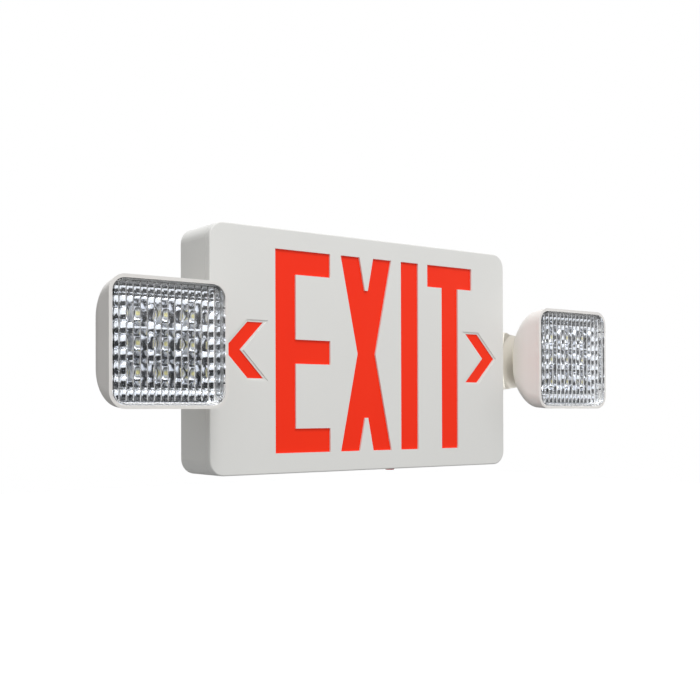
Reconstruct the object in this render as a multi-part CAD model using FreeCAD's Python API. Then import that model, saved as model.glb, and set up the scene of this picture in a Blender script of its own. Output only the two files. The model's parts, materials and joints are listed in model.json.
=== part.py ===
import FreeCAD, Part
import math
import os

# Combination exit sign and twin-head emergency light.
# Millimetres. X runs to the right along the sign, Y into the wall and Z up.
# The origin is the middle of the back face, so the sign's front faces -Y.

V = FreeCAD.Vector
ALONG_X = V(1, 0, 0)
ALONG_Y = V(0, 1, 0)

# Fits
fit = 0.3
snug = 0.15
running = 0.08
beyond = 1.0

# Sign casing
sign_width = 304.8
sign_height = 190.5
sign_corner = 12.0
casing_wall = 2.4
plate_depth = 6.0
frame_depth = 29.6
cover_depth = 9.9
front_edge_round = 1.1
seam_line_depth = 5.7
seam_line_size = 0.4
tongue_wall = 1.2
tongue_reach = 2.6

sign_depth = plate_depth + frame_depth + cover_depth
plate_front = -plate_depth
frame_front = plate_front - frame_depth
sign_front = -sign_depth
inner_width = sign_width - 2 * casing_wall
inner_height = sign_height - 2 * casing_wall
inner_corner = sign_corner - casing_wall

# Legend: letters 6 1/4 in high; sizes along the sign go by the stroke, 3/4 in on a sign of 12 in
face_thickness = 1.5
letter_height = 158.75
stroke = sign_width / 16
e_width = 2.74 * stroke
x_width = 2.76 * stroke
t_width = 2.72 * stroke
letter_gap = 0.55 * stroke
x_foot = 1.01 * stroke
x_waist = 0.98 * stroke
x_notch_depth = 27.0
x_notch_floor = 3.0
chevron_height = 43.0
chevron_margin = 0.64 * stroke
chevron_reach = 1.08 * stroke
chevron_band = 0.745 * stroke
chevron_gap = 0.562 * stroke
chevron_step = 1.7
chevron_step_depth = 0.7
diffuser_thickness = 1.6
stake_radius = 1.5
stake_inset = 4.2

# Light tray behind the legend
tray_wall = 1.5
ledge_width = 6.0
ledge_thickness = 1.5
tray_depth = 12.0
strip_width = 10.0
strip_thickness = 1.0
strip_inset = 14.0
strip_led_size = 3.5
strip_led_height = 1.4
strip_led_count = 10
tray_slot_radius = 5.0

# Back plate fixings
box_spacing_wide = 88.9
box_spacing_tall = 83.34
wall_spacing_wide = 200.0
wall_spacing_tall = 150.0
fixing_hole_radius = 2.4
wire_entry_radius = 11.1

# Screws
screw_radius = 1.5
screw_head_radius = 3.0
screw_head_height = 2.0
screw_grip = 6.0
boss_wall = 2.2
boss_radius = screw_radius + boss_wall

# Casing corner screws
lug_size = 15.0
lug_thickness = 3.0
lug_gap = 3.0
lug_screw_inset = 9.0

# Control board
board_width = 84.0
board_height = 116.0
board_thickness = 1.6
board_margin = 11.0
board_standoff = 7.0
board_hole_inset = 5.0
transformer_width = 38.0
transformer_height = 32.0
transformer_depth = 13.0
coil_margin = 6.0
coil_swell = 2.0
capacitor_radius = 4.0
capacitor_height = 11.0
capacitor_pitch = 10.0
capacitor_count = 3
terminal_width = 20.0
terminal_height = 9.0
terminal_depth = 9.0
terminal_ways = 3
terminal_hole_radius = 1.6

# Battery pack
cell_radius = 11.25
cell_length = 43.0
cell_count = 3
battery_margin = 30.5
strap_width = 12.0
strap_thickness = 1.0
strap_foot = 10.0
cradle_rib = 2.0
cradle_height = 8.0

# Test button and pilot lamp, in the underside
button_margin = 110.0
button_radius = 4.0
button_proud = 2.5
button_edge_round = 0.8
button_flange = 1.6
button_flange_rim = 1.8
button_travel = 2.0
button_stem_radius = 1.7
button_spring_wire = 0.6
button_spring_turns = 4
button_spring_sides = 8
button_spring_gap = 0.5
switch_size = 12.0
switch_height = 6.5
switch_stand = 10.0
switch_board_width = 24.0
switch_board_thickness = 1.6
switch_rib = 3.0
lamp_pitch = 18.0
lamp_radius = 2.5
lamp_flange = 0.8
lamp_proud = 1.5

# Lamp heads
head_width = 90.0
head_height = 90.0
head_corner = 12.0
head_offset = 51.2
head_stand_off = 38.15
head_wall = 2.5
head_straight = 15.0
dome_radius = 44.0
dome_corner = 14.5
dome_tip_flat = 1.3
dome_tip_radius = 4.2
dome_steps = 8
tilt_limit = 30.0

# Lens and what is behind it
lens_thickness = 2.0
lens_proud = 1.2
lens_edge_round = 1.1
lens_skirt = 1.5
lens_border = 4.1
flute_count = 15
flute_height = 0.8
flange_depth = 6.0
flange_thickness = 1.6
seat_rim = 2.0
seat_thickness = 2.0
reflector_wall = 1.2
reflector_plate_depth = 10.0
ridge_pitch = 9.1
ridge_height = 1.4
ridge_count = 9
cup_pitch = 20.0
cup_mouth = 9.4
cup_floor = 4.5
led_board_depth = 16.0
led_board_size = 70.0
led_board_thickness = 1.6
led_size = 5.0
led_height = 1.4
led_post_place = 30.0
led_post_radius = 2.6

# Swivel
seat_gap = 0.3
cup_thickness = 3.7
cup_radius = 12.8
spigot_radius = 7.5
bolt_radius = 5.0
bolt_bore_radius = 3.0
bolt_head_flats = 15.0
bolt_head_height = 4.0
bolt_end = 0.6
clamp_radius = 11.0
clamp_edge = 1.7
slot_play = 0.4
swivel_washer_radius = 10.0
swivel_washer_thickness = 1.0
disc_spring_radius = 9.0
disc_spring_height = 1.5
disc_spring_thickness = 0.7
nut_flats = 15.0
nut_height = 3.5

# Arm
arm_height = 58.0
arm_depth = 40.0
arm_edge_round = 18.5
arm_end_radius = 23.6
arm_wall = 2.4
relief_radius = 57.0
collar_radius = 12.0
collar_wall = 2.0
arm_screw_place = 19.0
arm_screw_grip = 8.0

half_width = sign_width / 2
half_height = sign_height / 2
board_centre_x = board_margin + board_width / 2 - inner_width / 2
battery_centre_x = inner_width / 2 - battery_margin - cell_length / 2
button_x = inner_width / 2 - button_margin
middle_y = -sign_depth / 2
head_x = half_width + head_offset
head_front = sign_front - head_stand_off
tilt_y = head_front + head_straight
cup_back = dome_radius + seat_gap + cup_thickness
relief_floor = cup_back + fit
diffuser_front = sign_front + face_thickness
diffuser_back = diffuser_front + diffuser_thickness
tray_front = diffuser_back + fit
tray_back = tray_front + tray_depth
plate_floor = -casing_wall
lug_back = plate_front - lug_gap


# Basic solids

def rounded_wire(width, height, radius, y):
    """Rounded rectangle about the Y axis, in a plane of constant y."""
    edges = []
    flat_x = width / 2 - radius
    flat_z = height / 2 - radius
    corners = [(flat_x, flat_z), (-flat_x, flat_z), (-flat_x, -flat_z), (flat_x, -flat_z)]
    arcs = []
    for turn, (x, z) in enumerate(corners):
        points = []
        for part in (0.0, 0.5, 1.0):
            angle = math.radians(90 * (turn + part))
            points.append(V(x + radius * math.cos(angle), y, z + radius * math.sin(angle)))
        arcs.append(points)
    for turn, points in enumerate(arcs):
        edges.append(Part.Arc(*points).toShape())
        following = arcs[(turn + 1) % 4]
        edges.append(Part.LineSegment(points[2], following[0]).toShape())
    return Part.Wire(edges)


def rounded_block(width, height, radius, front, back):
    """Rounded rectangular prism about the Y axis from front to back."""
    wire = rounded_wire(width, height, radius, front)
    return Part.Face(wire).extrude(V(0, back - front, 0))


def ring_block(width, height, radius, wall, front, back):
    """Rounded rectangular tube with its wall inside the given size."""
    outer = rounded_block(width, height, radius, front, back)
    inner = rounded_block(width - 2 * wall, height - 2 * wall, radius - wall, front, back)
    return outer.cut(inner)


def polygon_block(points, front, back):
    """Prism from an outline given as (x, z) pairs."""
    corners = [V(x, front, z) for x, z in points]
    return Part.Face(Part.makePolygon(corners + corners[:1])).extrude(V(0, back - front, 0))


def block(low, high):
    """Plain box between two opposite corners."""
    size = [b - a for a, b in zip(low, high)]
    return Part.makeBox(*size, V(*low))


def rod(radius, start, end):
    """Round rod from one point to another."""
    run = V(*end) - V(*start)
    return Part.makeCylinder(radius, run.Length, V(*start), run)


def hexagon_block(flats, x, z, front, back):
    """Hexagonal prism along Y."""
    reach = flats / math.sqrt(3)
    points = []
    for side in range(6):
        angle = math.radians(60 * side)
        points.append((x + reach * math.cos(angle), z + reach * math.sin(angle)))
    return polygon_block(points, front, back)


def join(first, *others):
    """One solid from several that meet."""
    return first.multiFuse(list(others)).removeSplitter() if others else first


def group(solids):
    """Separate solids kept together in one piece."""
    return Part.makeCompound(solids)


def mirrored(shape):
    """The left-hand copy of a right-hand shape."""
    return shape.mirror(V(0, 0, 0), ALONG_X)


def screw(tip, head_seat, radius=screw_radius):
    """Pan-head screw whose head stands on head_seat, away from tip."""
    run = V(*head_seat) - V(*tip)
    run.normalize()
    shank = rod(radius, tip, head_seat)
    top = V(*head_seat) + run * screw_head_height
    return join(shank, rod(screw_head_radius, head_seat, tuple(top)))


def four_places(x, z):
    """The four mirror images of a point in the XZ plane."""
    return [(a * x, b * z) for a in (-1, 1) for b in (-1, 1)]


# Legend

def e_outline():
    arm = e_width
    top = letter_height / 2
    half = stroke / 2
    return [(0, -top), (arm, -top), (arm, -top + stroke), (stroke, -top + stroke),
            (stroke, -half), (arm, -half), (arm, half), (stroke, half),
            (stroke, top - stroke), (arm, top - stroke), (arm, top), (0, top)]


def x_outline():
    top = letter_height / 2
    middle = x_width / 2
    notch = top - x_notch_depth
    quarter = [(middle + x_notch_floor / 2, notch), (x_width - x_foot, top),
               (x_width, top), (middle + x_waist / 2, 0)]
    right = quarter + [(x, -z) for x, z in reversed(quarter[:3])]
    left = [(x_width - x, z) for x, z in reversed(right)]
    return right + left


def i_outline():
    top = letter_height / 2
    return [(0, -top), (stroke, -top), (stroke, top), (0, top)]


def t_outline():
    top = letter_height / 2
    low = t_width / 2 - stroke / 2
    high = low + stroke
    return [(low, -top), (high, -top), (high, top - stroke), (t_width, top - stroke),
            (t_width, top), (0, top), (0, top - stroke), (low, top - stroke)]


def chevron_outline():
    """Left-pointing chevron with its point at x = 0."""
    end = chevron_height / 2
    return [(0, 0), (chevron_reach, end), (chevron_reach + chevron_band, end),
            (chevron_band, 0), (chevron_reach + chevron_band, -end), (chevron_reach, -end)]


def shifted(points, dx):
    return [(x + dx, z) for x, z in points]


def legend_outlines():
    """Every letter's outline at its place on the sign."""
    letters = [(e_outline(), e_width), (x_outline(), x_width),
               (i_outline(), stroke), (t_outline(), t_width)]
    x = -half_width + chevron_margin + chevron_reach + chevron_band + chevron_gap
    outlines = []
    for points, width in letters:
        outlines.append(shifted(points, x))
        x += width + letter_gap
    return outlines


def chevron_outlines():
    left = shifted(chevron_outline(), -half_width + chevron_margin)
    right = [(-x, z) for x, z in left]
    return [left, right]


def stake_places():
    """Heat stakes that hold the diffuser, near the rim of the cover."""
    x = inner_width / 2 - stake_inset
    z = inner_height / 2 - stake_inset
    return [(0, -z), (0, z), (-x, -half_height / 2), (-x, half_height / 2),
            (x, -half_height / 2), (x, half_height / 2)]


def stencil_face():
    cover = rounded_block(sign_width, sign_height, sign_corner, sign_front, frame_front)
    rim = [e for e in cover.Edges if abs(e.BoundBox.YMin - sign_front) < 1e-6 and e.BoundBox.YLength < 1e-6]
    cover = cover.makeFillet(front_edge_round, rim)
    pocket = rounded_block(inner_width, inner_height, inner_corner, diffuser_front, frame_front)
    cover = cover.cut(pocket)
    tongue = ring_block(inner_width - 2 * fit, inner_height - 2 * fit, inner_corner - fit, tongue_wall,
                        tray_front, frame_front + tongue_reach)
    bridge = ring_block(inner_width + 2 * fit, inner_height + 2 * fit, inner_corner + fit,
                        tongue_wall + 2 * fit, tray_front, frame_front)
    stakes = [rod(stake_radius, (x, diffuser_front, z), (x, diffuser_back, z)) for x, z in stake_places()]
    cover = join(cover, tongue, bridge, *stakes)
    line_y = sign_front + seam_line_depth
    outside = ring_block(sign_width + 2 * beyond, sign_height + 2 * beyond, sign_corner + beyond,
                         beyond + seam_line_size, line_y, line_y + seam_line_size)
    cuts = [outside]
    for points in legend_outlines() + chevron_outlines():
        cuts.append(polygon_block(points, sign_front - beyond, diffuser_front + beyond))
    for points in chevron_outlines():
        corners = [V(x, sign_front - beyond, z) for x, z in points + points[:1]]
        wide = Part.Face(Part.makePolygon(corners)).makeOffset2D(chevron_step, join=2)
        cuts.append(wide.extrude(V(0, beyond + chevron_step_depth, 0)))
    return cover.cut(cuts)


def legend_diffuser():
    sheet = rounded_block(inner_width - 2 * fit, inner_height - 2 * fit, inner_corner - fit,
                          diffuser_front, diffuser_back)
    holes = [rod(stake_radius + snug, (x, diffuser_front, z), (x, diffuser_back, z))
             for x, z in stake_places()]
    return sheet.cut(holes)


# Light tray

tray_margin = fit + tongue_wall + 2 * fit
tray_width = inner_width - 2 * tray_margin
tray_height = inner_height - 2 * tray_margin
tray_floor_front = tray_back - tray_wall


def light_tray():
    body = rounded_block(tray_width, tray_height, inner_corner - tray_margin, tray_front, tray_back)
    hollow = rounded_block(tray_width - 2 * tray_wall, tray_height - 2 * tray_wall,
                           inner_corner - tray_margin - tray_wall, tray_front, tray_floor_front)
    wire_slot = rod(tray_slot_radius, (0, tray_floor_front, 0), (0, tray_back, 0))
    return body.cut([hollow, wire_slot])


def strip_centre():
    return tray_height / 2 - strip_inset


def led_strip(side):
    """Printed strip along the tray's top (side 1) or bottom (side -1)."""
    z = side * strip_centre()
    long_half = tray_width / 2 - strip_inset
    return block((-long_half, tray_floor_front - strip_thickness, z - strip_width / 2),
                 (long_half, tray_floor_front, z + strip_width / 2))


def strip_leds():
    face = tray_floor_front - strip_thickness
    span = tray_width - 4 * strip_inset
    leds = []
    for side in (-1, 1):
        for number in range(strip_led_count):
            x = -span / 2 + span * number / (strip_led_count - 1)
            z = side * strip_centre()
            half = strip_led_size / 2
            leds.append(block((x - half, face - strip_led_height, z - half), (x + half, face, z + half)))
    return group(leds)


# Back plate and casing frame

lug_screw_x = half_width - casing_wall - lug_screw_inset
lug_screw_z = half_height - casing_wall - lug_screw_inset
board_back = plate_floor - board_standoff
board_front = board_back - board_thickness
cell_y = plate_floor - fit - cell_radius
battery_half = cell_count * cell_radius


def board_hole_places():
    x = board_width / 2 - board_hole_inset
    z = board_height / 2 - board_hole_inset
    return [(board_centre_x + dx, dz) for dx, dz in four_places(x, z)]


def strap_screw_places():
    z = battery_half + fit + strap_thickness + strap_foot / 2
    return [(battery_centre_x, side * z) for side in (-1, 1)]


def back_plate():
    tray = rounded_block(sign_width, sign_height, sign_corner, plate_front, 0)
    pocket = rounded_block(inner_width, inner_height, inner_corner, plate_front, plate_floor)
    tray = tray.cut(pocket)
    tongue = ring_block(inner_width - 2 * fit, inner_height - 2 * fit, inner_corner - fit, tongue_wall,
                        plate_front - tongue_reach, plate_floor)
    bridge = ring_block(inner_width + 2 * fit, inner_height + 2 * fit, inner_corner + fit,
                        tongue_wall + 2 * fit, plate_front, plate_floor)
    parts = [tongue, bridge]
    for x, z in four_places(lug_screw_x, lug_screw_z):
        parts.append(rod(boss_radius, (x, plate_floor, z), (x, lug_back, z)))
    for x, z in board_hole_places():
        parts.append(rod(boss_radius, (x, plate_floor, z), (x, board_back, z)))
    for side in (-1, 1):
        x = battery_centre_x + side * (cell_length / 2 + fit + cradle_rib / 2)
        parts.append(block((x - cradle_rib / 2, plate_floor - cradle_height, -battery_half),
                           (x + cradle_rib / 2, plate_floor, battery_half)))
    tray = join(tray, *parts)
    holes = [rod(wire_entry_radius, (0, plate_floor, 0), (0, 0, 0))]
    for x in (-box_spacing_wide / 2, box_spacing_wide / 2):
        holes.append(rod(fixing_hole_radius, (x, plate_floor, 0), (x, 0, 0)))
    for z in (-box_spacing_tall / 2, box_spacing_tall / 2):
        holes.append(rod(fixing_hole_radius, (0, plate_floor, z), (0, 0, z)))
    for x, z in four_places(wall_spacing_wide / 2, wall_spacing_tall / 2):
        holes.append(rod(fixing_hole_radius, (x, plate_floor, z), (x, 0, z)))
    for x, z in four_places(lug_screw_x, lug_screw_z):
        holes.append(rod(screw_radius, (x, lug_back, z), (x, lug_back + screw_grip, z)))
    for x, z in board_hole_places():
        holes.append(rod(screw_radius, (x, board_back, z), (x, board_back + screw_grip, z)))
    for x, z in strap_screw_places():
        holes.append(rod(screw_radius, (x, plate_floor, z), (x, 0, z)))
    return tray.cut(holes)


def side_holes():
    """Holes through both side walls for the arms' collars and screws."""
    holes = []
    for side in (-1, 1):
        outside = side * (half_width + beyond)
        inside = side * (half_width - casing_wall - beyond)
        holes.append(rod(collar_radius + snug, (inside, middle_y, 0), (outside, middle_y, 0)))
        for z in (-arm_screw_place, arm_screw_place):
            holes.append(rod(screw_radius + snug, (inside, middle_y, z), (outside, middle_y, z)))
    return holes


# Test button

wall_inside = -half_height + casing_wall
button_y = (tray_back + ledge_thickness + plate_front - tongue_reach) / 2
switch_underside = wall_inside + switch_stand
flange_bottom = wall_inside + seat_gap
flange_top = flange_bottom + button_flange
stem_top = switch_underside - button_travel - fit
rib_place = switch_size / 2 + fit + switch_rib / 2
switch_top = switch_underside + switch_height


def housing_frame():
    frame = ring_block(sign_width, sign_height, sign_corner, casing_wall, frame_front, plate_front)
    ledge = ring_block(inner_width + casing_wall, inner_height + casing_wall, inner_corner + casing_wall / 2,
                       ledge_width + casing_wall / 2, tray_back, tray_back + ledge_thickness)
    parts = [ledge]
    lug_front = lug_back - lug_thickness
    whole = rounded_block(sign_width, sign_height, sign_corner, lug_front, lug_back)
    for sx, sz in four_places(1, 1):
        x = sx * half_width
        z = sz * half_height
        near_x = sx * (half_width - casing_wall - lug_size)
        near_z = sz * (half_height - casing_wall - lug_size)
        low = (min(x, near_x), lug_front, min(z, near_z))
        high = (max(x, near_x), lug_back, max(z, near_z))
        parts.append(block(low, high).common(whole))
    for side in (-1, 1):
        x = button_x + side * rib_place
        parts.append(block((x - switch_rib / 2, button_y - switch_size / 2, wall_inside - casing_wall / 2),
                           (x + switch_rib / 2, button_y + switch_size / 2, switch_top)))
    frame = join(frame, *parts)
    holes = side_holes()
    for x, z in four_places(lug_screw_x, lug_screw_z):
        holes.append(rod(screw_radius + snug, (x, lug_back, z), (x, lug_front, z)))
    for x, radius in ((button_x, button_radius + seat_gap), (button_x + lamp_pitch, lamp_radius + snug)):
        holes.append(rod(radius, (x, button_y, -half_height - beyond), (x, button_y, wall_inside + beyond)))
    return frame.cut(holes)


def test_button():
    x = button_x
    cap = rod(button_radius, (x, button_y, -half_height - button_proud), (x, button_y, flange_bottom))
    lower = [e for e in cap.Edges if abs(e.BoundBox.ZMax + half_height + button_proud) < 1e-6]
    cap = cap.makeFillet(button_edge_round, lower)
    flange = rod(button_radius + button_flange_rim, (x, button_y, flange_bottom), (x, button_y, flange_top))
    stem = rod(button_stem_radius, (x, button_y, flange_top), (x, button_y, stem_top))
    return join(cap, flange, stem)


def button_spring():
    """Coil between the button's flange and the underside of the switch."""
    wire = button_spring_wire / 2
    low = flange_top + wire
    high = switch_underside - wire
    radius = button_stem_radius + button_spring_gap + wire
    pitch = (high - low) / button_spring_turns
    helix = Part.makeHelix(pitch, high - low, radius)
    corners = []
    for side in range(button_spring_sides):
        angle = 2 * math.pi * (side + 0.5) / button_spring_sides
        corners.append(V(radius + wire * math.cos(angle), 0, wire * math.sin(angle)))
    section = Part.makePolygon(corners + corners[:1])
    coil = helix.makePipeShell([section], True, True)
    coil.translate(V(button_x, button_y, low))
    return coil


def test_switch():
    half = switch_size / 2
    return block((button_x - half, button_y - half, switch_underside),
                 (button_x + half, button_y + half, switch_top))


def switch_board():
    half = switch_board_width / 2
    depth = switch_size / 2
    return block((button_x - half, button_y - depth, switch_top),
                 (button_x + half, button_y + depth, switch_top + switch_board_thickness))


def status_lamp():
    x = button_x + lamp_pitch
    low = -half_height - lamp_proud + lamp_radius
    body = rod(lamp_radius, (x, button_y, low), (x, button_y, wall_inside + lamp_flange))
    tip = Part.makeSphere(lamp_radius, V(x, button_y, low))
    flange = rod(lamp_radius + lamp_flange, (x, button_y, wall_inside),
                 (x, button_y, wall_inside + lamp_flange))
    return join(body, tip, flange)


# Electronics

def control_board():
    x = board_width / 2
    z = board_height / 2
    sheet = block((board_centre_x - x, board_front, -z),
                  (board_centre_x + x, board_back, z))
    holes = [rod(screw_radius + snug, (a, board_front, b), (a, board_back, b)) for a, b in board_hole_places()]
    return sheet.cut(holes)


transformer_z = -board_height / 4
capacitor_z = board_height / 8
terminal_z = board_height / 3


def transformer():
    """Laminated core with its winding through the window."""
    half_w = transformer_width / 2
    half_h = transformer_height / 2
    front = board_front - transformer_depth
    core = block((board_centre_x - half_w, front + coil_swell, transformer_z - half_h),
                 (board_centre_x + half_w, board_front, transformer_z + half_h))
    coil = rounded_block(transformer_width - 2 * coil_margin, transformer_height + 2 * coil_swell, coil_swell,
                         front, board_front)
    coil.translate(V(board_centre_x, 0, transformer_z))
    return join(core, coil)


def capacitors():
    cans = []
    for number in range(capacitor_count):
        x = board_centre_x + (number - (capacitor_count - 1) / 2) * capacitor_pitch
        cans.append(rod(capacitor_radius, (x, board_front, capacitor_z),
                        (x, board_front - capacitor_height, capacitor_z)))
    return group(cans)


def terminal_block():
    half_w = terminal_width / 2
    half_h = terminal_height / 2
    body = block((board_centre_x - half_w, board_front - terminal_depth, terminal_z - half_h),
                 (board_centre_x + half_w, board_front, terminal_z + half_h))
    wells = []
    pitch = terminal_width / terminal_ways
    for number in range(terminal_ways):
        x = board_centre_x - half_w + pitch * (number + 0.5)
        front = board_front - terminal_depth
        well_floor = front + terminal_depth / 2
        wells.append(rod(terminal_hole_radius, (x, front, terminal_z), (x, well_floor, terminal_z)))
    return body.cut(wells)


def battery_pack():
    """Cells side by side in one shrink sleeve."""
    left = battery_centre_x - cell_length / 2
    right = battery_centre_x + cell_length / 2
    cells = []
    for number in range(cell_count):
        z = (2 * number - cell_count + 1) * cell_radius
        cells.append(rod(cell_radius, (left, cell_y, z), (right, cell_y, z)))
    end = (cell_count - 1) * cell_radius
    web = block((left, cell_y - cell_radius, -end),
                (right, cell_y + cell_radius, end))
    return join(web, cells[0], cells[-1])


def battery_strap():
    """Sheet strap over the pack with a foot screwed down at each end."""
    inner = battery_half + fit
    outer = inner + strap_thickness
    foot = outer + strap_foot
    over = cell_y - cell_radius - fit
    floor = plate_floor
    outline = [(-foot, floor), (-foot, floor - strap_thickness), (-outer, floor - strap_thickness),
               (-outer, over - strap_thickness), (outer, over - strap_thickness),
               (outer, floor - strap_thickness), (foot, floor - strap_thickness), (foot, floor),
               (inner, floor), (inner, over), (-inner, over), (-inner, floor)]
    left = battery_centre_x - strap_width / 2
    corners = [V(left, y, z) for z, y in outline]
    strap = Part.Face(Part.makePolygon(corners + corners[:1])).extrude(V(strap_width, 0, 0))
    holes = [rod(screw_radius + snug, (x, plate_floor - strap_thickness, z), (x, plate_floor, z))
             for x, z in strap_screw_places()]
    return strap.cut(holes)


def casing_screws():
    lug_front = lug_back - lug_thickness
    frame = [screw((x, lug_back + screw_grip, z), (x, lug_front, z))
             for x, z in four_places(lug_screw_x, lug_screw_z)]
    return group(frame)


def board_screws():
    return group([screw((x, board_back + screw_grip, z), (x, board_front, z)) for x, z in board_hole_places()])


def strap_screws():
    seat = plate_floor - strap_thickness
    return group([screw((x, 0, z), (x, seat, z)) for x, z in strap_screw_places()])


# Arms, modelled on the right

def arm_body(inset):
    """Arm of oval section that tapers to a round end, drawn in by inset all round."""
    root = arm_height / 2 - inset
    end_radius = arm_end_radius - inset
    start = half_width + inset
    centre = head_x
    run = centre - start
    lean = math.acos(end_radius / math.hypot(root, run)) - math.atan2(run, root)
    touch_x = centre + end_radius * math.sin(lean)
    touch_z = end_radius * math.cos(lean)
    front = middle_y - arm_depth / 2 + inset
    back = middle_y + arm_depth / 2 - inset
    edges = [Part.LineSegment(V(start, front, -root), V(start, front, root)).toShape(),
             Part.LineSegment(V(start, front, root), V(touch_x, front, touch_z)).toShape(),
             Part.Arc(V(touch_x, front, touch_z), V(centre + end_radius, front, 0),
                      V(touch_x, front, -touch_z)).toShape(),
             Part.LineSegment(V(touch_x, front, -touch_z), V(start, front, -root)).toShape()]
    solid = Part.Face(Part.Wire(edges)).extrude(V(0, back - front, 0))
    rims = [e for e in solid.Edges if e.BoundBox.YLength < 1e-6 and e.BoundBox.XMax > start + beyond]
    return solid.makeFillet(arm_edge_round - inset, rims)


def relief(grow):
    """Hollow scooped from the arm so that the head's dome turns freely."""
    centre = V(head_x, tilt_y, 0)
    ball = Part.makeSphere(relief_radius + grow, centre)
    reach = relief_radius + grow
    keep = block((head_x - reach, tilt_y - reach, -reach),
                 (head_x + reach, tilt_y + relief_floor + grow, reach))
    return ball.common(keep)


def lamp_arm():
    arm = arm_body(0).cut(relief(0))
    arm = arm.cut(arm_body(arm_wall).cut(relief(arm_wall)))
    start = half_width
    collar = rod(collar_radius, (start - casing_wall, middle_y, 0), (start + arm_wall, middle_y, 0))
    arm = join(arm, collar)
    bosses = []
    for z in (-arm_screw_place, arm_screw_place):
        bosses.append(rod(boss_radius, (start + arm_wall / 2, middle_y, z),
                          (start + arm_screw_grip, middle_y, z)))
    arm = join(arm, *bosses)
    holes = [rod(collar_radius - collar_wall, (start - casing_wall, middle_y, 0),
                 (start + arm_wall, middle_y, 0))]
    for z in (-arm_screw_place, arm_screw_place):
        holes.append(rod(screw_radius, (start, middle_y, z), (start + arm_screw_grip, middle_y, z)))
    holes.append(rod(spigot_radius + running, (head_x, tilt_y + relief_floor - beyond, 0),
                     (head_x, tilt_y + relief_floor + arm_wall + beyond, 0)))
    return arm.cut(holes)


def arm_screws():
    seat = half_width - casing_wall
    screws = []
    for z in (-arm_screw_place, arm_screw_place):
        right = screw((half_width + arm_screw_grip, middle_y, z), (seat, middle_y, z))
        screws += [right, mirrored(right)]
    return group(screws)


# Swivel, modelled on the right; depths are measured back from the tilt axis

def behind(depth):
    """Point on the swivel axis at a depth behind the tilt axis."""
    return (head_x, tilt_y + depth, 0)


spigot_end = relief_floor + arm_wall + snug
washer_front = relief_floor + arm_wall + fit
spring_front = washer_front + swivel_washer_thickness
nut_front = spring_front + disc_spring_height
bolt_back = nut_front + nut_height + bolt_end
clamp_sphere = dome_radius - head_wall - seat_gap
clamp_front = math.sqrt(clamp_sphere ** 2 - clamp_radius ** 2) - clamp_edge


def swivel_cup():
    """Disc with a trough that the dome rolls in, and a spigot through the arm."""
    disc = rod(cup_radius, behind(dome_radius / 2), behind(cup_back))
    spigot = rod(spigot_radius, behind(cup_back), behind(spigot_end))
    reach = cup_radius + beyond
    trough = rod(dome_radius + seat_gap, (head_x - reach, tilt_y, 0), (head_x + reach, tilt_y, 0))
    bore = rod(bolt_radius + snug, behind(0), behind(spigot_end))
    return join(disc, spigot).cut([trough, bore])


def swivel_bolt():
    """Hollow bolt that carries the lamp wires."""
    seat = tilt_y + clamp_front
    head = hexagon_block(bolt_head_flats, head_x, 0, seat - bolt_head_height, seat)
    shank = rod(bolt_radius, behind(clamp_front), behind(bolt_back))
    bore = rod(bolt_bore_radius, behind(clamp_front - bolt_head_height), behind(bolt_back))
    return join(head, shank).cut(bore)


def clamp_washer():
    """Domed washer inside the head, across the slot."""
    ball = Part.makeSphere(clamp_sphere, V(*behind(0)))
    disc = ball.common(rod(clamp_radius, behind(clamp_front), behind(clamp_sphere + beyond)))
    return disc.cut(rod(bolt_radius + snug, behind(clamp_front), behind(clamp_sphere + beyond)))


def swivel_washer():
    disc = rod(swivel_washer_radius, behind(washer_front), behind(spring_front))
    return disc.cut(rod(bolt_radius + snug, behind(washer_front), behind(spring_front)))


def swivel_spring():
    """Coned disc spring under the nut."""
    inner = bolt_radius + fit
    cone = disc_spring_height - disc_spring_thickness
    points = [V(head_x + inner, tilt_y + spring_front + cone, 0),
              V(head_x + disc_spring_radius, tilt_y + spring_front, 0),
              V(head_x + disc_spring_radius, tilt_y + spring_front + disc_spring_thickness, 0),
              V(head_x + inner, tilt_y + nut_front, 0)]
    return Part.Face(Part.makePolygon(points + points[:1])).revolve(V(*behind(0)), ALONG_Y, 360)


def swivel_nut():
    nut = hexagon_block(nut_flats, head_x, 0, tilt_y + nut_front, tilt_y + nut_front + nut_height)
    return nut.cut(rod(bolt_radius, behind(nut_front), behind(nut_front + nut_height)))


# Lamp head, modelled on the right; depth runs back from the head's front

def rim_section(inset):
    """Rounded rectangle at the head's front, drawn in by inset."""
    return rounded_wire(head_width - 2 * inset, head_height - 2 * inset, head_corner - inset, head_front)


def dome_section(angle, inset):
    """Rounded square section of the dome, which turns round towards its tip."""
    radius = dome_radius - inset
    reach = radius * math.cos(angle)
    width = min(head_width / 2 - inset, reach)
    squareness = (dome_corner - inset) / (head_width / 2 - inset)
    tip_roundness = 1 - dome_tip_flat / (head_width / 2 - inset)
    roundness = squareness + (tip_roundness - squareness) * math.sin(angle)
    depth = head_straight + radius * math.sin(angle)
    return rounded_wire(2 * width, 2 * reach, roundness * width, head_front + depth)


def dome_solid(inset):
    """Head outline: a short straight rim and a dome that closes on the tilt circle."""
    last = math.acos(dome_tip_radius / (dome_radius - inset))
    sections = [dome_section(last * step / dome_steps, inset) for step in range(dome_steps + 1)]
    rim = Part.makeLoft([rim_section(inset), sections[0]], True, True)
    solid = rim.fuse(Part.makeLoft(sections, True, False))
    solid.translate(V(head_x, 0, 0))
    return solid


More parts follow.
